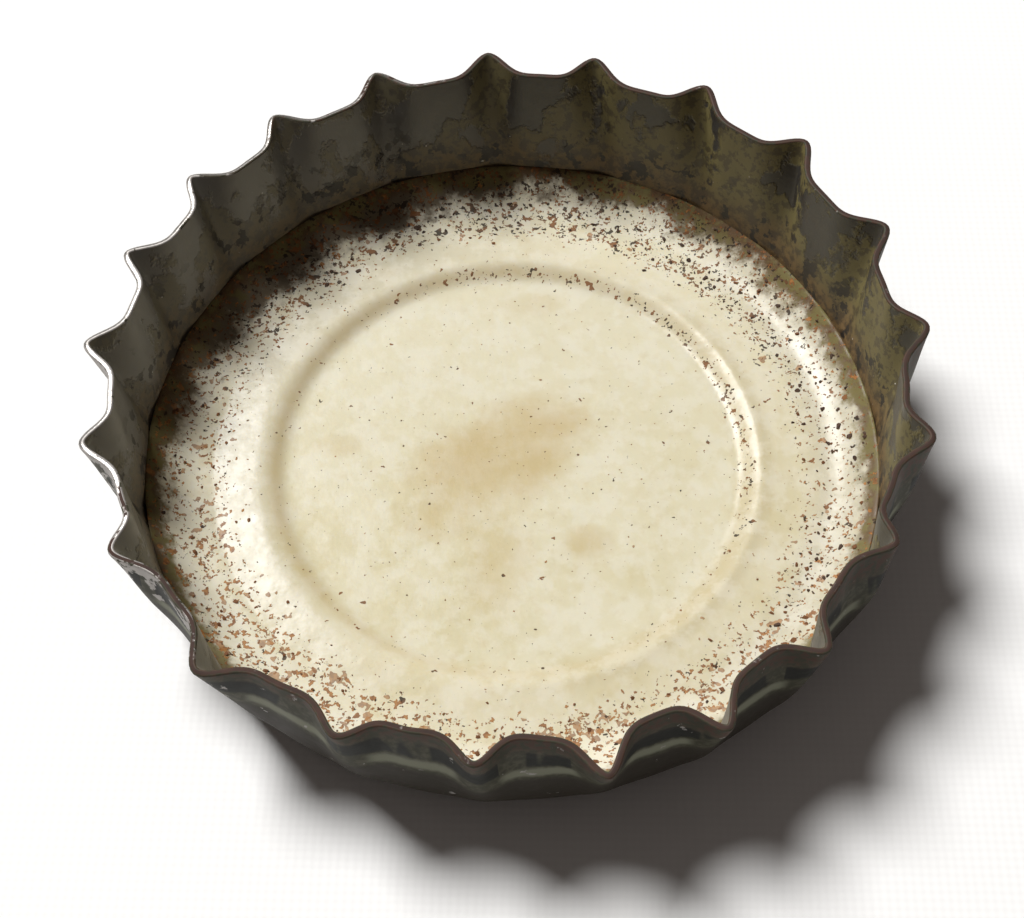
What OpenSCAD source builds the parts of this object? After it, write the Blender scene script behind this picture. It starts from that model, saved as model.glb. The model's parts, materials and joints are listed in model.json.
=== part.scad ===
// Used crown cap: a fluted tinplate shell with a moulded sealing liner inside.
// It lies on its outer panel with the mouth up. The origin is the centre of that panel's outer face.

/* [Shell] */
// Number of flutes round the skirt
flutes = 21; // [14:1:28]
// Inside diameter of the shell where the skirt leaves the corner
bore_d = 26.75; // [22:0.05:34]
// Height from the outer face of the panel to the rim
height = 6.0; // [4.8:0.1:8]
// Thickness of the tinplate
sheet = 0.235; // [0.18:0.005:0.3]
// Outer radius of the corner between panel and skirt
corner_r = 2.0; // [1.6:0.05:2.5]
// How far the skirt's valleys lean out on the radius, from corner to rim
flare = 0.3; // [0:0.05:1.2]
// Depth of a flute at the rim, from the valley to the crest of the tooth
flute_depth = 1.2; // [0.6:0.05:1.8]
// Narrowness of the teeth: 1 is a plain wave, and more gives narrow teeth and broad valleys
flute_narrowness = 2.9; // [1:0.1:4]

/* [Bends left by the opener] */
// Sideways push of the rim
rim_push = 0.55; // [0:0.05:1.2]
// Direction of that push, anticlockwise from +X
rim_push_dir = 110; // [0:5:360]
// Lift of the rim on its high side, and drop on its low side
rim_lift = 0.5; // [0:0.05:0.8]
// Direction of the high side, anticlockwise from +X
rim_lift_dir = 0; // [0:5:360]
// Crowding of the teeth towards the two ends of a diameter, in degrees
crowd_two = 2.3; // [0:0.1:4]
// Phase of that crowding, in degrees
crowd_two_dir = 164; // [0:1:360]
// Crowding of the teeth towards three places round the rim, in degrees
crowd_three = 1.1; // [0:0.1:3]
// Phase of that crowding, in degrees
crowd_three_dir = 53; // [0:1:360]
// Turn of the whole pattern of flutes, in degrees
flute_turn = 176; // [0:1:360]

/* [Liner] */
// Thickness of the liner's middle disc
disc_t = 0.25; // [0.15:0.05:0.5]
// Radius of the sealing bead's crest line
bead_r = 9.25; // [6:0.05:10.5]
// Radius of the sealing bead's round back, in section
bead_curve = 1.0; // [0.8:0.05:1.3]
// Height of the bead's crest above the disc
bead_rise = 0.55; // [0.3:0.05:0.8]
// Thickness of the land outside the bead
land_t = 0.6; // [0.4:0.05:0.8]
// Radius at which the land starts to climb towards the skirt
land_end_r = 11.1; // [10.6:0.05:11.4]
// Height of the liner's outer edge above the outer face of the panel
edge_h = 1.9; // [1.4:0.05:2]
// Clearance between the liner's edge and the skirt
liner_gap = 0.05; // [0.03:0.01:0.15]

/* [Hidden] */
$fn = 96;

bore_r = bore_d / 2;
root_r = bore_r + sheet;
panel_r = root_r - corner_r;

// The flutes fade in over the upper part of the corner
flute_start = corner_r * 0.4;
flute_fade = 1.25;
bend_fade = 1.5;

// Grid of the skirt's surface
cols = 8;
columns = flutes * cols;
corner_steps = 5;
skirt_steps = 5;
flat_overlap = 1.2;
rows = corner_steps + skirt_steps + 2;
col_pull = 0.07;
probe = 0.01;

// Angle of a column, with the columns drawn closer together at the teeth
function column_angle(i) = flute_turn + 360 / flutes * (i / cols - col_pull * sin(360 * i / cols));

// Share of the full tooth at an angle: 1 on the crest and 0 in the valley
function tooth(a) = pow((1 + cos(flutes * (a - flute_turn))) / 2, flute_narrowness);

// Angle moved by the crowding of the teeth
function crowded(a) = a + crowd_two * cos(2 * a - crowd_two_dir) + crowd_three * cos(3 * a - crowd_three_dir);

// Share of the way up from a starting height, faded in by a power
function rise(z, start, fade) = pow(max(0, (z - start) / (height - start)), fade);

// Radius and height of the plain section at row s, before fluting
function section(s) =
    s < 1 ? [panel_r - flat_overlap * (1 - s), 0]
    : s < corner_steps + 1
        ? let (turn = 90 * (s - 1) / corner_steps)
          [panel_r + corner_r * sin(turn), corner_r * (1 - cos(turn))]
        : let (up = (s - 1 - corner_steps) / skirt_steps)
          [root_r + flare * up, corner_r + (height - corner_r) * up];

// Point of the shell's outer surface at angle a and row s
function outer_point(a, s) =
    let (
        p = section(s),
        r = p[0] + flute_depth * tooth(a) * rise(p[1], flute_start, flute_fade),
        bend = rise(p[1], corner_r, bend_fade),
        b = crowded(a)
    )
    [
        r * cos(b) + rim_push * bend * cos(rim_push_dir),
        r * sin(b) + rim_push * bend * sin(rim_push_dir),
        p[1] + rim_lift * bend * cos(b - rim_lift_dir)
    ];

function unit(v) = v / norm(v);

// Direction out of the sheet at angle a and row s
function outward(a, s) =
    let (
        lo = max(0, s - probe),
        hi = min(rows - 1, s + probe)
    )
    s < 1 ? [0, 0, -1]
    : unit(cross(
        outer_point(a + probe, s) - outer_point(a - probe, s),
        outer_point(a, hi) - outer_point(a, lo)
    ));

function inner_point(a, s) = outer_point(a, s) - sheet * outward(a, s);

// Fluted skirt with its corner and the outer margin of the panel, closed along the rim
module skirt() {
    outer = [for (s = [0:rows - 1], i = [0:columns - 1]) outer_point(column_angle(i), s)];
    inner = [for (s = [0:rows - 1], i = [0:columns - 1]) inner_point(column_angle(i), s)];
    count = rows * columns;
    function o(s, i) = s * columns + i % columns;
    function n(s, i) = count + o(s, i);
    top = rows - 1;
    polyhedron(
        points = concat(outer, inner),
        faces = concat(
            [for (s = [0:rows - 2], i = [0:columns - 1]) each [
                [o(s, i), o(s + 1, i), o(s + 1, i + 1)],
                [o(s, i), o(s + 1, i + 1), o(s, i + 1)],
                [n(s, i), n(s + 1, i + 1), n(s + 1, i)],
                [n(s, i), n(s, i + 1), n(s + 1, i + 1)]
            ]],
            [for (i = [0:columns - 1]) each [
                [o(top, i), n(top, i), n(top, i + 1)],
                [o(top, i), n(top, i + 1), o(top, i + 1)],
                [o(0, i), n(0, i + 1), n(0, i)],
                [o(0, i), o(0, i + 1), n(0, i + 1)]
            ]]
        )
    );
}

module shell() {
    color("darkolivegreen") union() {
        cylinder(h = sheet, r = panel_r - flat_overlap / 2);
        skirt();
    }
}

// Half section of the liner, on the radius and the height
module liner_section() {
    edge_r = bore_r - liner_gap;
    land_z = sheet + land_t;
    climb_h = edge_h - land_z;
    climb_w = edge_r - land_end_r;
    climb_r = (climb_w * climb_w + climb_h * climb_h) / (2 * climb_h);
    difference() {
        square([edge_r, edge_h]);
        square([edge_r, sheet]);
        // space above the middle disc
        translate([0, sheet + disc_t]) square([bead_r, edge_h]);
        // space above the land
        translate([bead_r, land_z]) square([land_end_r - bead_r, edge_h]);
        // hollow climb from the land to the skirt
        translate([land_end_r, land_z + climb_r]) circle(r = climb_r);
        // round corner that lies in the shell's own corner
        difference() {
            translate([edge_r - corner_r, sheet]) square([corner_r * 2, corner_r]);
            translate([edge_r - corner_r, sheet + corner_r]) circle(r = corner_r);
        }
    }
}

// Half section of the sealing bead, a round back that stands out of the disc and the land
module bead_section() {
    crest = sheet + disc_t + bead_rise;
    intersection() {
        translate([bead_r, crest - bead_curve]) circle(r = bead_curve);
        translate([bead_r - bead_curve, sheet]) square([bead_curve * 2, crest]);
    }
}

module liner() {
    color("cornsilk") rotate_extrude() {
        liner_section();
        bead_section();
    }
}

shell();
liner();
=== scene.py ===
"""Used crown cap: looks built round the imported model, which holds every size."""
import json
import math
import random

import bmesh
import bpy
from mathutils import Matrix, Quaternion, Vector


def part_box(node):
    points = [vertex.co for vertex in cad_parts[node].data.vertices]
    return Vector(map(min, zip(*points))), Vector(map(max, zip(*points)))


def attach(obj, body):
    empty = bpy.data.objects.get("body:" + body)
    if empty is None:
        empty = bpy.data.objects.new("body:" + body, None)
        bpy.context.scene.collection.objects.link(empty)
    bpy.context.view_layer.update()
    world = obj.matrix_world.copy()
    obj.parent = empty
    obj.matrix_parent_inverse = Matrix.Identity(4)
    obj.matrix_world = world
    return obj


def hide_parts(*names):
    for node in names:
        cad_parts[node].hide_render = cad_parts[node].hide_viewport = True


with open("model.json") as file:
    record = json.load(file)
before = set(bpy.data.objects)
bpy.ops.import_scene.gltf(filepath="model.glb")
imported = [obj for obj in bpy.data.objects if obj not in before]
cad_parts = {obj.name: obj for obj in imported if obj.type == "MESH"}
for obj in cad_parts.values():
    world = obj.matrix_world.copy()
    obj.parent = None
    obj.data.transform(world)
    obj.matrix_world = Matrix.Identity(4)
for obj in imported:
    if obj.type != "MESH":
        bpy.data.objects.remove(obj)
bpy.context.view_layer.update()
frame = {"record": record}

bl_info = {
    "name": "Used crown cap",
    "version": (1, 0, 0),
    "blender": (4, 5, 0),
    "location": "View3D > Sidebar > Cap",
    "description": "Models a used crown cap: fluted shell, sealing liner, crumbs of rust and dirt",
    "category": "Add Mesh",
}

MM = 0.001
MOUNTS = {mount["name"]: mount for mount in frame["record"]["mounts"]}
SHELL_LOW, SHELL_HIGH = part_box("shell")
LINER_LOW, LINER_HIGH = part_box("liner")
SHEET = LINER_LOW.z
LAND_HEIGHT = MOUNTS["lip_seat"]["pos_m"][2]
EDGE_HEIGHT = LINER_HIGH.z
EDGE_RADIUS = (LINER_HIGH.x - LINER_LOW.x) / 2

# flutes: the first crest's angle, the mesh steps on each, and how the bending crowded them,
# as the swing and the phase of a wave that goes round the cap twice and of one that goes three times
FIRST_CREST = math.radians(176)
STEPS_PER_FLUTE = 16
CROWD_TWO = (math.radians(2.3), math.radians(164))
CROWD_THREE = (math.radians(1.1), math.radians(53))
FLUTE_START = 0.8 * MM
FLUTE_FADE = 1.25
FLUTE_NARROWNESS = 2.9
BEND_FADE = 1.5
PUSH_ANGLE = math.radians(110)
RIM_BEVEL = 0.065 * MM
TOOTH_REACH = 3 * MM

# teeth bent by hand: number from the left, clockwise, and how far the tip was moved, in millimetres
BENT_TEETH = {7: (-0.3, 0, 0), 8: (-0.2, 0.15, 0), 9: (-0.1, 0.2, 0), 11: (-0.2, 0.15, 0),
              12: (-0.15, 0.3, 0), 13: (-0.1, 0.5, 0), 15: (0, -0.3, 0), 16: (0, -0.45, 0),
              17: (0.1, 0.3, 0), 18: (0.3, 0.3, 0), 20: (0, 0.5, 0), 21: (0.15, 0.25, 0)}

# liner
LINER_STEPS_PER_FLUTE = 8
LINER_GAP = 0.05 * MM

# soaked spots on the liner's disc: x, y, half length and half width in millimetres, turn in degrees,
# and how strong each one is
LONG_STAIN = (-0.7, 0.0, 3.9, 2.2, 33, 0.55)
SMALL_STAINS = ((1.4, 1.4, 1.7, 0.9, 20, 0.55), (2.7, -3.5, 0.9, 0.7, 0, 0.36),
                (1.0, 7.3, 1.3, 0.6, 0, 0.2), (-6.4, 0.9, 0.9, 0.5, 0, 0.22),
                (-0.5, -4.5, 1.8, 1.2, 80, 0.25))

# crumbs: how many, towards which side and how widely spread in degrees, and the random seed
RUST_CRUMBS = (320, 262, 85, 21)
DIRT_CRUMBS = (300, 62, 65, 34)
CRUMB_RADIUS = 0.5 * MM
CRUMB_ROUGHENING = 0.35 * MM
CRUMB_LIFT = 0.06 * MM
# radius in millimetres: middle, spread, least and most; then size: middle and spread of a log-normal
# draw, least and most
CRUMB_PLACES = (11.9, 0.8, 9.9, 13.0)
CRUMB_SIZES = (-2.1, 0.38, 0.06, 0.27)

# print outside: heights in millimetres where each zone of the skirt begins and ends
PRINT_BAND = (3.85, 4.35)
PRINT_BLOCKS = (4.5, 5.35)
# painted shade: under these heights the skirt is painted in the shadow's dark tone
PAINTED_SHADE_BELOW = (3.8, 3.4)
PRINT_RUST = (5.1, 5.9)
PRINT_DISC = 10.5
PRINT_RING = (7.6, 8.2)
PRINT_CENTRE = (-0.07, 0.2, 0)

# stage
FLOOR_SIZE = 0.7
FLOOR_GAP = 0.01 * MM
KEY_SIDE = 134
KEY_HEIGHT = 54.5
KEY_DISTANCE = 1.2
KEY_SIZE = 0.46
KEY_POWER = 19.9
KEY_TONE = (1.0, 0.995, 0.985)
FILL_TONE = (1.0, 0.87, 0.81)
FILL_STRENGTH = 0.09
CAMERA_TILT = math.radians(58.55)
CAMERA_ROLL = math.radians(-1.2)
CAMERA_DISTANCE = 66 * MM
CAMERA_AIM = 0.42 * MM
CAMERA_LENS = 61.95


def length(name, description, default):
    """A size in metres that the sidebar shows."""
    return bpy.props.FloatProperty(name=name, description=description, default=default,
                                   unit="LENGTH", subtype="DISTANCE", precision=5)


def colour(name, description, default):
    """A linear colour that the sidebar shows."""
    return bpy.props.FloatVectorProperty(name=name, description=description, default=default,
                                         size=3, min=0.0, max=1.0, subtype="COLOR")


class CapSizes(bpy.types.PropertyGroup):
    """Sizes of the cap beyond those that the frame gives."""

    flutes: bpy.props.IntProperty(name="Flutes", description="Teeth round the skirt", default=21)
    corner: length("Corner", "Outer radius between panel and skirt", 2.0 * MM)
    root: length("Root", "Outer radius where the skirt leaves the corner", 13.61 * MM)
    height: length("Height", "Height of the rim before it was bent", 6.0 * MM)
    flare: length("Flare", "Lean of the skirt's valleys on the radius", 0.3 * MM)
    tooth: length("Tooth", "Depth of a flute at the rim", 1.2 * MM)
    push: length("Push", "Sideways push of the rim", 0.55 * MM)
    lift: length("Lift", "Lift of the rim on its high side", 0.5 * MM)
    bead: length("Bead", "Radius of the sealing bead's crest", 9.3 * MM)
    bead_height: length("Bead height", "Height of the bead's crest", 0.97 * MM)
    disc_height: length("Disc height", "Height of the liner's middle disc", 0.60 * MM)
    climb: length("Climb", "Radius at which the liner starts to climb", 11.1 * MM)


class CapColours(bpy.types.PropertyGroup):
    """Colours of the cap and its dirt."""

    liner: colour("Liner", "Cream of the liner", (0.605, 0.540, 0.345))
    liner_pale: colour("Pale liner", "Whiter plastic towards the skirt", (0.72, 0.672, 0.520))
    stain: colour("Stain", "Tan stain soaked into the liner", (0.45, 0.31, 0.10))
    lacquer: colour("Lacquer", "Dark lacquer inside the skirt", (0.030, 0.025, 0.021))
    olive: colour("Olive", "Yellowed patches of the lacquer", (0.155, 0.128, 0.044))
    rust: colour("Rust", "Rust and rusty crumbs", (0.21, 0.080, 0.024))
    dirt: colour("Dirt", "Black crumbs of dirt", (0.018, 0.013, 0.010))
    tin: colour("Tin", "Bare tinplate along the rim", (0.58, 0.55, 0.52))
    print_ground: colour("Print ground", "Ground colour outside", (0.050, 0.048, 0.030))
    print_dark: colour("Print dark", "Dark blocks of the print", (0.011, 0.012, 0.010))
    print_band: colour("Print band", "Pale band round the skirt", (0.205, 0.210, 0.150))


# ---- helpers for modelling by operators ---------------------------------------------------


def deselect_all():
    """Leaves edit mode with nothing selected."""
    if bpy.context.object and bpy.context.object.mode != "OBJECT":
        bpy.ops.object.mode_set(mode="OBJECT")
    bpy.ops.object.select_all(action="DESELECT")


def pick(piece):
    """Makes the piece the only selected and the active object."""
    deselect_all()
    piece.select_set(True)
    bpy.context.view_layer.objects.active = piece


def start_ring(name, count, radius, height):
    """A ring of edges in edit mode, all of it selected, its place in its mesh."""
    deselect_all()
    bpy.ops.mesh.primitive_circle_add(vertices=count, radius=radius, fill_type="NOTHING",
                                      location=(0, 0, height))
    piece = bpy.context.object
    piece.name = piece.data.name = name
    bpy.ops.object.transform_apply(location=True, rotation=True, scale=True)
    bpy.ops.object.mode_set(mode="EDIT")
    bpy.ops.mesh.select_mode(type="VERT")
    bpy.ops.mesh.select_all(action="SELECT")
    return piece


def select_vertices(piece, indices):
    """Selects only these vertices of the piece in edit mode."""
    mesh = bmesh.from_edit_mesh(piece.data)
    mesh.verts.ensure_lookup_table()
    for parts in (mesh.faces, mesh.edges, mesh.verts):
        for part in parts:
            part.select = False
    for index in indices:
        mesh.verts[index].select = True
    mesh.select_flush(True)
    bmesh.update_edit_mesh(piece.data, loop_triangles=False, destructive=False)


def scale_flat(factor):
    """Scales what is selected away from the cap's axis."""
    bpy.ops.transform.resize(value=(factor, factor, 1), center_override=(0, 0, 0))


def turn_flat(angle):
    """Turns what is selected about the cap's axis, anticlockwise seen from above."""
    bpy.ops.transform.rotate(value=-angle, orient_axis="Z", center_override=(0, 0, 0))


def extrude_profile(points):
    """Extrudes the selected ring through points of radius and height, from the first on."""
    for (radius, height), (next_radius, next_height) in zip(points, points[1:]):
        bpy.ops.mesh.extrude_region_move(
            TRANSFORM_OT_translate={"value": (0, 0, next_height - height)})
        scale_flat(next_radius / radius)


def row_key(radius, height):
    """What names a row: its height and radius, rounded."""
    return (round(height / MM, 3), round(radius / MM, 2))


def row_at(rows, radius, height):
    """The vertex indices of the row that was drawn at a radius and height."""
    return rows[row_key(radius, height)]


def rows_of(piece, first_angle):
    """Vertex indices row by row down the cap, each row anticlockwise from first_angle."""
    mesh = bmesh.from_edit_mesh(piece.data)
    rows = {}
    for vertex in mesh.verts:
        rows.setdefault(row_key(vertex.co.xy.length, vertex.co.z), []).append(vertex)
    for row in rows.values():
        row.sort(key=lambda v: (math.atan2(v.co.y, v.co.x) - first_angle) % math.tau)
    return {key: [vertex.index for vertex in row] for key, row in rows.items()}


def apply_modifier(piece, kind, **settings):
    """Adds a modifier to the piece and applies it."""
    pick(piece)
    modifier = piece.modifiers.new(kind.title(), kind)
    for name, value in settings.items():
        setattr(modifier, name, value)
    bpy.ops.object.modifier_apply(modifier=modifier.name)


def arc(centre, radius, start, end, steps):
    """Points of radius and height on an arc, its angles in degrees from straight down."""
    turns = [math.radians(start + (end - start) * step / steps) for step in range(steps + 1)]
    return [(centre[0] + radius * math.sin(turn), centre[1] - radius * math.cos(turn)) for turn in turns]


def hand_over(piece, slot, *replaced):
    """Smooths the finished piece and gives it to the frame."""
    pick(piece)
    bpy.ops.object.shade_smooth()
    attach(piece, "root")
    if replaced:
        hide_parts(*replaced)


# ---- helpers for materials ----------------------------------------------------------------


class Paint:
    """One material's nodes, worked in millimetres on the cap's own coordinates."""

    def __init__(self, name):
        self.material = bpy.data.materials.new(name)
        self.material.use_nodes = True
        self.tree = self.material.node_tree
        self.surface = self.tree.nodes["Principled BSDF"]
        place_node = self.add("ShaderNodeTexCoord")
        self.mm = self.vector("SCALE", place_node.outputs["Object"], scale=1 / MM)
        split = self.add("ShaderNodeSeparateXYZ")
        self.tree.links.new(self.mm, split.inputs[0])
        self.x, self.y, self.z = split.outputs
        self.radius = self.math("SQRT", self.math("ADD", self.math("MULTIPLY", self.x, self.x),
                                                  self.math("MULTIPLY", self.y, self.y)))

    def add(self, kind, **settings):
        node = self.tree.nodes.new(kind)
        for name, value in settings.items():
            setattr(node, name, value)
        return node

    def feed(self, socket, value):
        """Links a socket or sets a plain value on an input."""
        if isinstance(value, bpy.types.NodeSocket):
            self.tree.links.new(value, socket)
        elif isinstance(value, (int, float)):
            socket.default_value = value
        else:
            values = tuple(value)
            socket.default_value = values + (1.0,) if len(socket.default_value) > len(values) else values

    def math(self, operation, first, second=0.0, clamp=False):
        node = self.add("ShaderNodeMath", operation=operation, use_clamp=clamp)
        self.feed(node.inputs[0], first)
        self.feed(node.inputs[1], second)
        return node.outputs[0]

    def vector(self, operation, first, second=None, scale=None):
        node = self.add("ShaderNodeVectorMath", operation=operation)
        self.feed(node.inputs[0], first)
        if second is not None:
            self.feed(node.inputs[1], second)
        if scale is not None:
            self.feed(node.inputs["Scale"], scale)
        return node.outputs["Value" if operation in ("DOT_PRODUCT", "LENGTH") else 0]

    def step(self, value, low, high):
        """0 below low, 1 above high, and a soft change between; low above high turns it round."""
        node = self.add("ShaderNodeMapRange", interpolation_type="SMOOTHSTEP")
        for name, given in (("Value", value), ("From Min", low), ("From Max", high)):
            self.feed(node.inputs[name], given)
        return node.outputs[0]

    def band(self, value, low, high, soft):
        """1 between low and high, with soft edges."""
        return self.math("MULTIPLY", self.step(value, low - soft, low + soft),
                         self.step(value, high + soft, high - soft))

    def mix(self, share, first, second):
        node = self.add("ShaderNodeMix", data_type="RGBA", clamp_factor=True)
        self.feed(node.inputs["Factor"], share)
        self.feed(node.inputs[6], first)
        self.feed(node.inputs[7], second)
        return node.outputs[2]

    def noise(self, size, detail=3.0, roughness=0.55, place=None, stretch=(1, 1, 1), seed=0.0):
        """Cloudy noise from 0 to 1 whose features measure about size in millimetres."""
        where = self.vector("MULTIPLY", place or self.mm, stretch)
        if seed:
            where = self.vector("ADD", where, (seed, seed * 0.7, seed * 1.3))
        node = self.add("ShaderNodeTexNoise")
        self.feed(node.inputs["Vector"], where)
        self.feed(node.inputs["Scale"], 1 / size)
        self.feed(node.inputs["Detail"], detail)
        self.feed(node.inputs["Roughness"], roughness)
        return node.outputs["Fac"]

    def facing(self, angle):
        """Cosine of the angle between a point's direction from the axis and this one."""
        turn = math.radians(angle)
        dot = self.vector("DOT_PRODUCT", self.mm, (math.cos(turn), math.sin(turn), 0))
        return self.math("DIVIDE", dot, self.math("MAXIMUM", self.radius, 0.01))

    def sector(self, angle, reach):
        """1 towards this angle, falling softly to 0 a reach of degrees away."""
        return self.step(self.facing(angle), math.cos(math.radians(reach)), 1.0)

    def bump(self, height, depth, strength=1.0, after=None):
        node = self.add("ShaderNodeBump")
        self.feed(node.inputs["Height"], height)
        self.feed(node.inputs["Distance"], depth * MM)
        self.feed(node.inputs["Strength"], strength)
        if after is not None:
            self.tree.links.new(after, node.inputs["Normal"])
        return node.outputs[0]

    def finish(self, colour_socket=None, roughness=None, normal=None, **plain):
        """Sets the shader's inputs and returns the material."""
        given = {"Base Color": colour_socket, "Roughness": roughness, "Normal": normal}
        given.update({name.replace("_", " "): value for name, value in plain.items()})
        for name, value in given.items():
            if value is not None:
                self.feed(self.surface.inputs[name], value)
        return self.material


def liner_plastic():
    """Cream compound, with soaked stains, dust along the bead and flecks of rust and dirt; painted shade
    darkens the slopes that face the lamp, and painted shadow is mixed into the dirt on the left.
    """
    tones = bpy.context.scene.cap_colours
    sizes = bpy.context.scene.cap_sizes
    paint = Paint("liner_plastic")
    bead = sizes.bead / MM
    climb = sizes.climb / MM
    edge = EDGE_RADIUS / MM

    # cream ground, paler on the outer zone and in clouds over the disc
    cloud = paint.noise(2.6, detail=4)
    fine = paint.noise(0.5, detail=3, seed=3)
    outer = paint.step(paint.math("ADD", paint.radius, cloud), climb + 0.2, climb + 1.2)
    upper = paint.step(paint.math("ADD", paint.y, paint.math("MULTIPLY", cloud, 6.0)), -4.0, 9.0)
    disc = paint.math("MULTIPLY", paint.step(cloud, 0.32, 0.62), 0.55)
    pale = paint.math("MAXIMUM", outer, paint.math("MAXIMUM", paint.math("MULTIPLY", upper, 0.65), disc))
    tinted = paint.mix(pale, tones.liner, tones.liner_pale)
    # painted shade: the cream is darkened on the right, where the start of the climb faces the lamp
    painted_shade_climb = paint.math("MULTIPLY", paint.sector(350, 70), paint.step(paint.radius, climb - 0.6, climb + 0.6))
    tinted = paint.mix(paint.math("MULTIPLY", painted_shade_climb, 0.8), tinted, (0.47, 0.43, 0.32))
    # painted shade: the cream is darkened on the left between bead and climb, where the slope faces the lamp
    painted_shade_flank = paint.math("MULTIPLY", paint.sector(160, 95), paint.band(paint.radius, bead, climb, 0.5))
    tinted = paint.mix(paint.math("MULTIPLY", painted_shade_flank, 0.85), tinted, (0.475, 0.44, 0.33))
    # the bead's inner slope on the right is darkened to a yellowish tone: partly the liner's yellowish ring,
    # partly painted shade where the slope faces the lamp
    ring_tint_and_shade = paint.math("MULTIPLY", paint.sector(340, 100),
                       paint.band(paint.radius, bead - 1.0, bead + 0.3, 0.3))
    tinted = paint.mix(paint.math("MULTIPLY", ring_tint_and_shade, 0.75), tinted, (0.50, 0.44, 0.285))
    mottle = paint.step(paint.noise(1.0, detail=4, roughness=0.62, seed=61), 0.42, 0.60)
    tinted = paint.mix(paint.math("MULTIPLY", mottle, 0.28), tinted, (0.78, 0.75, 0.66))

    # stains soaked into the disc: a long one across the middle and small ones by it
    def blot(x, y, long, short, turn):
        away = paint.vector("SUBTRACT", paint.mm, (x, y, 0))
        a = math.radians(turn)
        u = paint.vector("DOT_PRODUCT", away, (math.cos(a) / long, math.sin(a) / long, 0))
        v = paint.vector("DOT_PRODUCT", away, (-math.sin(a) / short, math.cos(a) / short, 0))
        far = paint.math("ADD", paint.math("MULTIPLY", u, u), paint.math("MULTIPLY", v, v))
        return paint.step(paint.math("ADD", far, paint.math("MULTIPLY", ragged, 2.4)), 2.9, 0.9)

    ragged = paint.noise(1.9, detail=4, seed=17)
    *place, depth = LONG_STAIN
    stain = paint.math("MULTIPLY", blot(*place), depth)
    for *place, depth in SMALL_STAINS:
        stain = paint.math("MAXIMUM", stain, paint.math("MULTIPLY", blot(*place), depth))
    # a tan ring along the bead's inner foot, faint all round and stronger towards the left
    left = paint.sector(150, 130)
    ring = paint.math("MULTIPLY", paint.band(paint.radius, bead - 0.75, bead - 0.35, 0.3),
                      paint.math("ADD", 0.15, paint.math("MULTIPLY", left, 0.28)))
    stain = paint.math("MAXIMUM", stain, ring)
    tinted = paint.mix(stain, tinted, tones.stain)
    tinted = paint.mix(paint.math("MULTIPLY", paint.step(fine, 0.5, 0.8), 0.16), tinted, tones.stain)

    # brown dirt creeping in from the skirt, widest on the far side; on the left it reaches further in as
    # painted shadow of the skirt mixed with real dirt
    creep = paint.noise(0.9, detail=5, roughness=0.65, seed=8)
    far_side = paint.sector(95, 105)
    # painted shadow: the zone reaches further in on the left, where the left skirt's shade falls, mixed with
    # real brown dirt
    left_dirt_and_shadow = paint.sector(150, 75)
    reach = paint.math("ADD", paint.math("MULTIPLY", far_side, 0.95),
                       paint.math("MULTIPLY", left_dirt_and_shadow, 0.85))
    reach = paint.math("ADD", reach, paint.math("MULTIPLY", paint.sector(0, 75), 0.35))
    border = paint.math("ADD", paint.math("ADD", paint.radius, paint.math("MULTIPLY", creep, 3.2)), reach)
    dirt_and_shadow = paint.step(border, edge + 1.40, edge + 2.30)
    dark_side = paint.sector(110, 105)
    tinted = paint.mix(paint.math("MULTIPLY", dirt_and_shadow, 0.9), tinted,
                       paint.mix(paint.math("MULTIPLY", dark_side, 0.8), (0.20, 0.14, 0.06),
                                 (0.045, 0.028, 0.017)))

    fringe = paint.math("ADD", paint.radius, paint.math("MULTIPLY", creep, 1.6))
    fringe_tone = paint.mix(paint.step(creep, 0.42, 0.58), (0.10, 0.055, 0.022), tones.olive)
    tinted = paint.mix(paint.math("MULTIPLY", paint.step(fringe, edge + 0.05, edge + 0.6), 0.93), tinted,
                       fringe_tone)

    # flecks: fine dark dirt, thick on the far side, and rust, thick on the near side
    land = paint.step(paint.radius, climb - 1.5, climb - 0.1)
    inside = paint.band(paint.radius, bead - 0.95, bead - 0.35, 0.3)
    patchy = paint.step(paint.noise(1.5, detail=2, seed=5), 0.3, 0.7)
    wide = paint.sector(45, 100)
    dark_share = paint.math("MULTIPLY", land, paint.math(
        "ADD", 0.58, paint.math("MULTIPLY", far_side, 0.55)))
    dark_share = paint.math("MAXIMUM", dark_share, paint.math(
        "MULTIPLY", inside, paint.math("ADD", 0.42, paint.math("MULTIPLY", wide, 0.70))))
    dark_share = paint.math("MAXIMUM", dark_share, 0.22)
    near_side = paint.sector(255, 125)
    rust_share = paint.math("MULTIPLY", land, paint.math(
        "ADD", 0.55, paint.math("MULTIPLY", near_side, 0.50)))
    thin_out = paint.math("ADD", 0.74, paint.math("MULTIPLY", patchy, 0.26))

    def flecks(size, seed, share, least, most):
        grain = paint.noise(size, detail=2, roughness=0.6, seed=seed)
        bar = paint.math("SUBTRACT", least, paint.math("MULTIPLY", paint.math("MULTIPLY", share, thin_out),
                                                       least - most))
        return paint.step(grain, bar, paint.math("ADD", bar, 0.012))

    rust_tone = paint.mix(paint.step(paint.noise(0.2, detail=2, seed=31), 0.4, 0.6), tones.rust,
                          (0.36, 0.155, 0.042))
    rusty = paint.math("MAXIMUM", flecks(0.24, 23, rust_share, 0.735, 0.563),
                       paint.math("MULTIPLY", flecks(0.50, 83, rust_share, 0.745, 0.596), 0.8))
    dark = paint.math("MAXIMUM", flecks(0.17, 41, dark_share, 0.742, 0.581),
                      flecks(0.40, 57, dark_share, 0.750, 0.622))
    painted = paint.mix(paint.math("MULTIPLY", rusty, 0.9), tinted, rust_tone)
    dark_tone = paint.mix(paint.step(paint.noise(0.5, detail=1, seed=71), 0.38, 0.62), (0.030, 0.019, 0.012),
                          tones.rust)
    painted = paint.mix(paint.math("MULTIPLY", dark, 0.92), painted, dark_tone)

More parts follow.
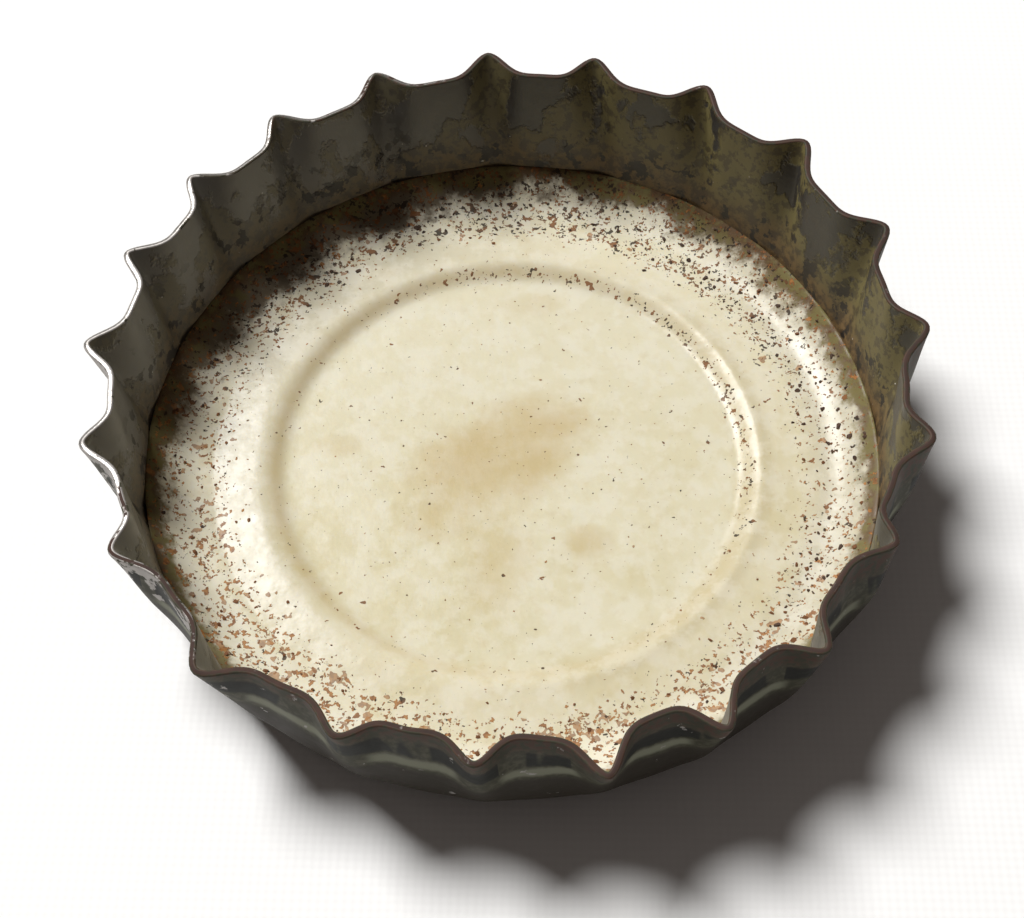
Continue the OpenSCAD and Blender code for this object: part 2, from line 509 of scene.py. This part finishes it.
    raised = paint.math("MAXIMUM", rusty, dark)
    soft = paint.math("MULTIPLY", paint.math("SUBTRACT", 1.0, raised), 0.22)
    gloss = paint.math("MULTIPLY", paint.step(paint.noise(0.8, detail=3, seed=91), 0.42, 0.62), 0.11)
    normal = paint.bump(paint.noise(0.9, detail=3, seed=11), 0.05, 0.5)
    grain = paint.math("ADD", raised, paint.math("MULTIPLY", fine, 0.25))
    normal = paint.bump(grain, 0.03, 0.7, after=normal)
    rough = paint.math("ADD", 0.24, paint.math("MULTIPLY", paint.math("MAXIMUM", raised, dirt_and_shadow), 0.45))
    rough = paint.math("ADD", rough, paint.math("MULTIPLY", fine, 0.12))
    return paint.finish(painted, rough, normal, Subsurface_Weight=soft,
                        Subsurface_Radius=(1.2 * MM, 0.9 * MM, 0.5 * MM), Subsurface_Scale=1.0,
                        Specular_IOR_Level=0.22, Coat_Weight=gloss, Coat_Roughness=0.2)


def skirt_lacquer():
    """Dark lacquer inside the skirt, flaked to yellow patches and rusted towards the liner, with a painted
    sheen of pale grey on its left side.
    """
    tones = bpy.context.scene.cap_colours
    paint = Paint("skirt_lacquer")
    blotch = paint.noise(2.0, detail=5, roughness=0.62, stretch=(1, 1, 0.8))
    flaky = paint.noise(0.42, detail=4, roughness=0.65, seed=4)
    right = paint.sector(15, 100)
    low = paint.step(paint.z, 5.6, 1.8)
    flute = paint.step(paint.radius, 13.7, 14.8)
    amount = paint.math("ADD", paint.math("MULTIPLY", low, 0.20), paint.math("MULTIPLY", right, 0.10))
    amount = paint.math("ADD", amount, paint.math("MULTIPLY", flute, 0.10))
    flaked = paint.step(paint.math("ADD", blotch, amount), 0.585, 0.645)
    ground = paint.mix(paint.step(flaky, 0.35, 0.65), tones.lacquer, (0.036, 0.033, 0.031))
    # painted reflection: the lacquer on the left side is lightened to pale grey, standing in for the sheen
    # of bright surroundings on the glossy lacquer
    ground = paint.mix(paint.math("MULTIPLY", paint.sector(165, 80), 0.8), ground, (0.215, 0.210, 0.200))
    yellow = paint.mix(paint.step(flaky, 0.42, 0.5), (0.075, 0.058, 0.022), tones.olive)
    strength = paint.math("ADD", 0.45, paint.math("MULTIPLY", right, 0.48))
    mixed = paint.mix(paint.math("MULTIPLY", flaked, strength), ground, yellow)
    base = paint.step(paint.math("SUBTRACT", paint.z, paint.math("MULTIPLY", blotch, 2.4)), 2.7, 0.7)
    brown = paint.mix(paint.step(flaky, 0.42, 0.6), (0.060, 0.036, 0.017), (0.16, 0.095, 0.036))
    mixed = paint.mix(paint.math("MULTIPLY", base, paint.math("ADD", 0.55, paint.math(
        "MULTIPLY", right, 0.4))), mixed, brown)
    black = paint.step(paint.noise(0.75, detail=4, roughness=0.6, seed=12), 0.56, 0.60)
    mixed = paint.mix(paint.math("MULTIPLY", black, paint.step(paint.z, 5.0, 3.0)), mixed, tones.dirt)
    glint = paint.step(paint.noise(0.22, detail=1, seed=20), 0.78, 0.82)
    mixed = paint.mix(paint.math("MULTIPLY", glint, paint.step(paint.z, 5.2, 4.2)), mixed, tones.tin)
    rough = paint.math("ADD", 0.24, paint.math("MULTIPLY", flaky, 0.34))
    rough = paint.math("ADD", rough, paint.math("MULTIPLY", flaked, 0.12))
    relief = paint.math("ADD", flaked, paint.math("MULTIPLY", flaky, 0.5))
    return paint.finish(mixed, rough, paint.bump(relief, 0.035, 0.8), Specular_IOR_Level=0.7)


def bare_rim():
    """Cut edge of the tinplate, bright on one side and browned on the other."""
    tones = bpy.context.scene.cap_colours
    paint = Paint("bare_rim")
    worn = paint.noise(0.7, detail=4, roughness=0.65)
    bright_side = paint.math("MULTIPLY", paint.sector(155, 68), 0.38)
    browned = paint.step(paint.math("SUBTRACT", worn, bright_side), 0.24, 0.36)
    brown = paint.mix(paint.noise(0.5, detail=2, seed=9), (0.016, 0.008, 0.006), (0.062, 0.023, 0.013))
    worn_tin = tuple(0.6 * part for part in tones.tin)
    mixed = paint.mix(paint.math("MULTIPLY", browned, 0.93), worn_tin, brown)
    rough = paint.math("ADD", 0.34, paint.math("MULTIPLY", browned, 0.36))
    metal = paint.math("SUBTRACT", 0.9, paint.math("MULTIPLY", browned, 0.8))
    return paint.finish(mixed, rough, paint.bump(paint.noise(0.15, detail=3), 0.02, 0.6), Metallic=metal,
                        Specular_IOR_Level=0.1)


def outer_print():
    """Plain generic print: dark ground, a row of darker blocks, a pale band and a worn edge, with painted
    shade in the shadow's tone on the skirt below the band.
    """
    tones = bpy.context.scene.cap_colours
    paint = Paint("outer_print")
    worn = paint.noise(0.9, detail=4, roughness=0.62)
    speck = paint.noise(0.25, detail=3, seed=6)
    wavy = paint.math("ADD", paint.z, paint.math("MULTIPLY", worn, 0.35))
    pushed = paint.vector("SUBTRACT", paint.mm, PRINT_CENTRE)
    from_middle = paint.vector("LENGTH", paint.vector("MULTIPLY", pushed, (1, 1, 0)))
    valley = paint.step(from_middle, 14.12, 13.88)
    band = paint.math("MULTIPLY", paint.band(wavy, *PRINT_BAND, 0.14), valley)
    blocks = paint.math("MULTIPLY", paint.band(wavy, *PRINT_BLOCKS, 0.1),
                        paint.step(paint.noise(1.0, detail=1, stretch=(1, 1, 0.05), seed=15), 0.46, 0.49))
    disc = paint.math("MULTIPLY", paint.step(paint.z, 0.6, 0.3),
                      paint.step(paint.radius, PRINT_DISC + 0.1, PRINT_DISC))
    ring = paint.band(paint.radius, *PRINT_RING, 0.06)
    mixed = paint.mix(paint.step(speck, 0.4, 0.7), tones.print_ground, (0.090, 0.086, 0.058))
    # painted shade: below the pale band the skirt takes the dark warm tone of the shadow round its foot
    below = paint.math("MULTIPLY", paint.step(wavy, *PAINTED_SHADE_BELOW), 0.95)
    mixed = paint.mix(below, mixed, (0.034, 0.028, 0.020))
    mixed = paint.mix(band, mixed, tones.print_band)
    mixed = paint.mix(paint.math("MULTIPLY", disc, 0.85), mixed, (0.05, 0.075, 0.06))
    mixed = paint.mix(paint.math("MULTIPLY", ring, disc), mixed, tones.print_band)
    mixed = paint.mix(paint.math("MULTIPLY", blocks, 0.9), mixed, tones.print_dark)
    bare_side = paint.sector(176, 62)
    scraped = paint.step(paint.math("ADD", worn, paint.math("MULTIPLY", bare_side, paint.math(
        "MULTIPLY", paint.step(paint.z, 3.2, 6.0), 0.30))), 0.66, 0.70)
    scraped_tin = paint.mix(speck, tuple(0.45 * part for part in tones.tin), tones.tin)
    mixed = paint.mix(scraped, mixed, scraped_tin)
    rusty = paint.math("MULTIPLY", paint.step(speck, 0.40, 0.60), paint.step(wavy, *PRINT_RUST))
    rusty = paint.math("MULTIPLY", rusty, paint.math("SUBTRACT", 1.0, bare_side))
    mixed = paint.mix(paint.math("MULTIPLY", rusty, 0.85), mixed, (0.075, 0.035, 0.024))
    rough = paint.math("ADD", 0.46, paint.math("MULTIPLY", worn, 0.3))
    relief = paint.math("ADD", worn, paint.math("MULTIPLY", speck, 0.5))
    return paint.finish(mixed, rough, paint.bump(relief, 0.03, 0.5), Specular_IOR_Level=0.22,
                        Metallic=paint.math("MULTIPLY", scraped, 0.7))


def crumb(name, tone, second):
    """Rough matt crumb of rust or dirt."""
    paint = Paint(name)
    mixed = paint.mix(paint.noise(0.22, detail=3), tone, second)
    normal = paint.bump(paint.noise(0.06, detail=3), 0.02, 0.8)
    return paint.finish(mixed, 0.85, normal)


def floor_cloth():
    """Fine white cloth, faintly woven."""
    paint = Paint("floor_cloth")
    turned = paint.add("ShaderNodeMapping")
    turned.inputs["Rotation"].default_value = (0, 0, math.radians(2))
    paint.feed(turned.inputs["Vector"], paint.mm)
    threads = []
    for direction in ("X", "Y"):
        wave = paint.add("ShaderNodeTexWave", wave_type="BANDS", bands_direction=direction)
        paint.feed(wave.inputs["Vector"], turned.outputs[0])
        paint.feed(wave.inputs["Scale"], 1.1)
        paint.feed(wave.inputs["Distortion"], 0.6)
        paint.feed(wave.inputs["Detail"], 2.0)
        threads.append(wave.outputs["Fac"])
    weave = paint.math("MULTIPLY", paint.math("ADD", threads[0], threads[1]), 0.5)
    mixed = paint.mix(weave, (0.860, 0.857, 0.850), (0.885, 0.882, 0.875))
    return paint.finish(mixed, 0.9, paint.bump(weave, 0.02, 0.3))


# ---- the cap's pieces -------------------------------------------------------------------------


def crowded(angle):
    """Where a flute pressed at this angle ended up after the bending."""
    two = CROWD_TWO[0] * math.cos(2 * angle - CROWD_TWO[1])
    three = CROWD_THREE[0] * math.cos(3 * angle - CROWD_THREE[1])
    return angle + two + three


def share_of_height(height, start, fade):
    """0 up to start, 1 at the rim, by a power of the way between."""
    top = bpy.context.scene.cap_sizes.height
    return max(0.0, (height - start) / (top - start)) ** fade


def flute_rise(step):
    """Share of the flute's depth at a step away from its crest."""
    return ((1 + math.cos(math.tau * step / STEPS_PER_FLUTE)) / 2) ** FLUTE_NARROWNESS


def shell_profile():
    """Outer line of the shell from the rim down to the panel's middle."""
    sizes = bpy.context.scene.cap_sizes
    flat = sizes.root - sizes.corner
    span = sizes.height - sizes.corner
    skirt = [(sizes.root + sizes.flare * share, sizes.corner + span * share)
             for share in (1.0, 0.96, 0.88, 0.76, 0.64, 0.52, 0.40, 0.28, 0.14)]
    corner = arc((flat, sizes.corner), sizes.corner, 90, 0, 7)
    panel = [(flat * share, 0.0) for share in (0.97, 0.9)]
    return skirt + corner + panel


class CAP_OT_shell(bpy.types.Operator):
    """Presses the tinplate shell: panel, corner, fluted skirt and the opener's bends"""

    bl_idname = "cap.shell"
    bl_label = "Tinplate shell"

    def execute(self, context):
        sizes = context.scene.cap_sizes
        columns = sizes.flutes * STEPS_PER_FLUTE
        profile = shell_profile()
        piece = start_ring("cap_shell", columns, profile[0][0], profile[0][1])
        step = math.tau / columns
        first_drawn = math.pi / 2
        turn_flat((FIRST_CREST - first_drawn) % step)
        offset = round(((FIRST_CREST - first_drawn) - (FIRST_CREST - first_drawn) % step) / step)
        for column in range(columns):
            angle = FIRST_CREST + column * step
            select_vertices(piece, [(column + offset) % columns])
            turn_flat(crowded(angle) - angle)
        bpy.ops.mesh.select_all(action="SELECT")
        extrude_profile(profile)
        rows = rows_of(piece, crowded(FIRST_CREST) - 0.5 * math.tau / columns)
        self.press_flutes(piece, rows, profile)
        self.bend(piece, rows, profile)
        apply_modifier(piece, "SUBSURF", levels=1, render_levels=1)
        self.close_panel(piece)
        for material in (outer_print(), skirt_lacquer(), bare_rim()):
            piece.data.materials.append(material)
        apply_modifier(piece, "SOLIDIFY", thickness=SHEET, offset=-1, use_even_offset=True,
                       material_offset=1, material_offset_rim=2)
        apply_modifier(piece, "BEVEL", width=RIM_BEVEL, segments=2, limit_method="ANGLE",
                       angle_limit=math.radians(60), material=0)
        hand_over(piece, "tinplate", "shell")
        return {"FINISHED"}

    def close_panel(self, piece):
        """Fills the hole in the middle of the panel and turns all faces outwards."""
        bpy.ops.object.mode_set(mode="EDIT")
        mesh = bmesh.from_edit_mesh(piece.data)
        hole = [vertex.index for vertex in mesh.verts if vertex.is_boundary and vertex.co.z < SHEET]
        select_vertices(piece, hole)
        bpy.ops.mesh.edge_face_add()
        bpy.ops.mesh.select_all(action="SELECT")
        bpy.ops.mesh.normals_make_consistent(inside=False)
        bpy.ops.object.mode_set(mode="OBJECT")

    def press_flutes(self, piece, rows, profile):
        """Pulls the flutes out of the skirt, row by row and step by step from the crest."""
        sizes = bpy.context.scene.cap_sizes
        for radius, height in profile:
            depth = sizes.tooth * share_of_height(height, FLUTE_START, FLUTE_FADE)
            if depth <= 0:
                continue
            row = row_at(rows, radius, height)
            for away in range(STEPS_PER_FLUTE // 2):
                chosen = [index for column, index in enumerate(row)
                          if min(column % STEPS_PER_FLUTE, -column % STEPS_PER_FLUTE) == away]
                select_vertices(piece, chosen)
                scale_flat((radius + depth * flute_rise(away)) / radius)

    def bend(self, piece, rows, profile):
        """Pushes and tilts the rows as the opener did, then moves single teeth."""
        sizes = bpy.context.scene.cap_sizes
        for radius, height in profile:
            share = share_of_height(height, sizes.corner, BEND_FADE)
            if share <= 0:
                continue
            select_vertices(piece, row_at(rows, radius, height))
            tilt = math.atan(share * sizes.lift / (radius + sizes.tooth / 2))
            bpy.ops.transform.rotate(value=tilt, orient_axis="Y", center_override=(0, 0, height))
            push = share * sizes.push
            bpy.ops.transform.translate(value=(push * math.cos(PUSH_ANGLE), push * math.sin(PUSH_ANGLE), 0))
        rim = row_at(rows, *profile[0])
        for tooth, move in BENT_TEETH.items():
            column = -(tooth - 1) * STEPS_PER_FLUTE % len(rim)
            select_vertices(piece, [rim[column]])
            bpy.ops.transform.translate(
                value=tuple(part * MM for part in move), use_proportional_edit=True,
                proportional_edit_falloff="SMOOTH", proportional_size=TOOTH_REACH)


def liner_profile():
    """Line of the liner from its flat underside, up its edge and in to the disc's middle."""
    sizes = bpy.context.scene.cap_sizes
    flat = sizes.root - sizes.corner
    under = [(flat * 0.9, SHEET), (flat * 0.98, SHEET)]
    round_side = arc((flat, sizes.corner), sizes.corner - SHEET - LINER_GAP, 12, 80, 6)
    edge = [(EDGE_RADIUS + 0.1 * MM, EDGE_HEIGHT - 0.08 * MM), (EDGE_RADIUS + 0.08 * MM, EDGE_HEIGHT)]
    sweep = EDGE_RADIUS - sizes.climb
    climb = [(sizes.climb + sweep * share, LAND_HEIGHT + (EDGE_HEIGHT - LAND_HEIGHT) * share ** 2.2)
             for share in (0.88, 0.76, 0.6, 0.42, 0.22, 0.0)]
    crest = sizes.bead
    top = sizes.bead_height
    disc = sizes.disc_height
    fall = top - LAND_HEIGHT
    outward = ((1.75, 0.02), (1.35, 0.18), (0.95, 0.44), (0.58, 0.74), (0.27, 0.94), (0, 1.0))
    inward = ((0.16, 0.94), (0.36, 0.75), (0.6, 0.42), (0.82, 0.13), (1.02, 0.0))
    bead = [(crest + out * MM, LAND_HEIGHT + fall * share) for out, share in outward]
    drop = top - disc
    bead += [(crest - back * MM, disc + drop * share) for back, share in inward]
    middle = [(crest * share, disc) for share in (0.85, 0.78)]
    return under + round_side + edge + climb + bead + middle


def land_on_liner(x, y):
    """Point of the finished liner's upper face straight below a place."""
    liner = bpy.data.objects["cap_liner"]
    found, point, _, _ = liner.ray_cast(Vector((x, y, SHELL_HIGH.z)), Vector((0, 0, -1)))
    if not found:
        raise RuntimeError("no liner below a crumb")
    return point


class CAP_OT_liner(bpy.types.Operator):
    """Moulds the liner: disc, bead, land and the edge that climbs the skirt"""

    bl_idname = "cap.liner"
    bl_label = "Sealing liner"

    def execute(self, context):
        profile = liner_profile()
        columns = context.scene.cap_sizes.flutes * LINER_STEPS_PER_FLUTE
        piece = start_ring("cap_liner", columns, profile[0][0], profile[0][1])
        extrude_profile(profile)
        bpy.ops.mesh.fill_grid(span=columns // 4)
        select_vertices(piece, range(columns))
        bpy.ops.mesh.fill_grid(span=columns // 4)
        bpy.ops.mesh.select_all(action="SELECT")
        bpy.ops.mesh.normals_make_consistent(inside=False)
        bpy.ops.object.mode_set(mode="OBJECT")
        piece.data.materials.append(liner_plastic())
        apply_modifier(piece, "SUBSURF", levels=1, render_levels=1)
        hand_over(piece, "liner_plastic", "liner")
        return {"FINISHED"}


class CAP_OT_crumbs(bpy.types.Operator):
    """Scatters loose crumbs of rust and dirt on the liner"""

    bl_idname = "cap.crumbs"
    bl_label = "Crumbs"

    def execute(self, context):
        tones = context.scene.cap_colours
        rust = crumb("rust_crumb", tones.rust, (0.11, 0.045, 0.018))
        dirt = crumb("dirt_crumb", tones.dirt, (0.10, 0.050, 0.026))
        self.scatter("rust_crumbs", rust, *RUST_CRUMBS)
        self.scatter("dirt_crumbs", dirt, *DIRT_CRUMBS)
        return {"FINISHED"}

    def scatter(self, name, material, count, side, spread, seed):
        """Copies a flake to random places, most of them near one side of the land."""
        draw = random.Random(seed)
        deselect_all()
        bpy.ops.mesh.primitive_ico_sphere_add(subdivisions=1, radius=CRUMB_RADIUS)
        flake = bpy.context.object
        flake.name = flake.data.name = name
        bpy.ops.object.mode_set(mode="EDIT")
        bpy.ops.mesh.select_all(action="SELECT")
        bpy.ops.transform.vertex_random(offset=CRUMB_ROUGHENING, seed=seed)
        bpy.ops.object.mode_set(mode="OBJECT")
        flake.data.materials.append(material)
        flakes = [flake]
        for _ in range(count - 1):
            pick(flake)
            bpy.ops.object.duplicate(linked=False)
            flakes.append(bpy.context.object)
        middle, width, inner, outer = CRUMB_PLACES
        usual, variety, smallest, largest = CRUMB_SIZES
        for copy in flakes:
            angle = math.radians(draw.gauss(side, spread))
            radius = min(max(draw.gauss(middle, width), inner), outer) * MM
            size = min(max(draw.lognormvariate(usual, variety), smallest), largest)
            spot = land_on_liner(radius * math.cos(angle), radius * math.sin(angle))
            copy.scale = (size, size * draw.uniform(0.5, 0.95), size * draw.uniform(0.2, 0.45))
            tip, roll, turn = draw.uniform(-0.4, 0.4), draw.uniform(-0.4, 0.4), draw.uniform(0, math.tau)
            copy.rotation_euler = (tip, roll, turn)
            copy.location = spot + Vector((0, 0, size * CRUMB_LIFT))
        deselect_all()
        for copy in flakes:
            copy.select_set(True)
        bpy.context.view_layer.objects.active = flake
        bpy.ops.object.join()
        bpy.ops.object.transform_apply(location=True, rotation=True, scale=True)
        pick(flake)
        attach(flake, "root")


# ---- stage --------------------------------------------------------------------------------------


class CAP_OT_stage(bpy.types.Operator):
    """Sets the floor, the lights and the camera"""

    bl_idname = "cap.stage"
    bl_label = "Stage"

    def execute(self, context):
        self.floor()
        self.lamp("key", KEY_SIDE, KEY_HEIGHT, KEY_DISTANCE, KEY_SIZE, KEY_POWER, KEY_TONE)
        self.world(context.scene, FILL_TONE, FILL_STRENGTH)
        self.camera(context.scene)
        context.scene.view_settings.view_transform = "Standard"
        return {"FINISHED"}

    def floor(self):
        deselect_all()
        bpy.ops.mesh.primitive_plane_add(size=FLOOR_SIZE, location=(0, 0, SHELL_LOW.z - FLOOR_GAP))
        floor = bpy.context.object
        floor.name = floor.data.name = "floor"
        bpy.ops.object.transform_apply(location=True)
        floor.data.materials.append(floor_cloth())

    def lamp(self, name, azimuth, elevation, distance, size, power, tone):
        """A soft round lamp, aimed at the cap from this side and height in degrees."""
        side, up = math.radians(azimuth), math.radians(elevation)
        way = Vector((math.cos(side) * math.cos(up), math.sin(side) * math.cos(up), math.sin(up)))
        bpy.ops.object.light_add(type="AREA", location=way * distance)
        lamp = bpy.context.object
        lamp.name = name
        lamp.data.shape = "DISK"
        lamp.data.size = size
        lamp.data.energy = power
        lamp.data.color = tone
        lamp.rotation_euler = way.to_track_quat("Z", "Y").to_euler()

    def world(self, scene, tone, strength):
        """Faint warm fill, with a white background behind the floor."""
        world = bpy.data.worlds.new("studio")
        world.use_nodes = True
        nodes = world.node_tree.nodes
        links = world.node_tree.links
        fill = nodes["Background"]
        fill.inputs["Color"].default_value = (*tone, 1.0)
        fill.inputs["Strength"].default_value = strength
        white = nodes.new("ShaderNodeBackground")
        rays = nodes.new("ShaderNodeLightPath")
        either = nodes.new("ShaderNodeMixShader")
        links.new(rays.outputs["Is Camera Ray"], either.inputs[0])
        links.new(fill.outputs[0], either.inputs[1])
        links.new(white.outputs[0], either.inputs[2])
        links.new(either.outputs[0], nodes["World Output"].inputs["Surface"])
        scene.world = world

    def camera(self, scene):
        back = Vector((0, -math.cos(CAMERA_TILT), math.sin(CAMERA_TILT)))
        upward = Vector((0, math.sin(CAMERA_TILT), math.cos(CAMERA_TILT)))
        spot = back * CAMERA_DISTANCE
        bpy.ops.object.camera_add(location=spot)
        camera = bpy.context.object
        camera.name = "camera"
        turn = (spot - upward * CAMERA_AIM).to_track_quat("Z", "Y")
        camera.rotation_euler = (turn @ Quaternion((0, 0, 1), CAMERA_ROLL)).to_euler()
        camera.data.lens = CAMERA_LENS
        camera.data.clip_start = 1 * MM
        scene.camera = camera


# ---- add-on ---------------------------------------------------------------------------------------


class CAP_PT_panel(bpy.types.Panel):
    """Lists the cap's pieces, sizes and colours"""

    bl_label = "Crown cap"
    bl_idname = "CAP_PT_panel"
    bl_space_type = "VIEW_3D"
    bl_region_type = "UI"
    bl_category = "Cap"

    def draw(self, context):
        for step in STEPS:
            self.layout.operator(step.bl_idname)
        for group in (context.scene.cap_sizes, context.scene.cap_colours):
            box = self.layout.box()
            for name in group.bl_rna.properties.keys():
                if name not in ("rna_type", "name"):
                    box.prop(group, name)


STEPS = (CAP_OT_shell, CAP_OT_liner, CAP_OT_crumbs, CAP_OT_stage)
CLASSES = (CapSizes, CapColours, *STEPS, CAP_PT_panel)


def register():
    for each in CLASSES:
        bpy.utils.register_class(each)
    bpy.types.Scene.cap_sizes = bpy.props.PointerProperty(type=CapSizes)
    bpy.types.Scene.cap_colours = bpy.props.PointerProperty(type=CapColours)


def unregister():
    del bpy.types.Scene.cap_colours
    del bpy.types.Scene.cap_sizes
    for each in reversed(CLASSES):
        bpy.utils.unregister_class(each)


def main():
    register()
    bpy.ops.cap.shell()
    bpy.ops.cap.liner()
    bpy.ops.cap.crumbs()
    bpy.ops.cap.stage()


if __name__ == "__main__":
    main()
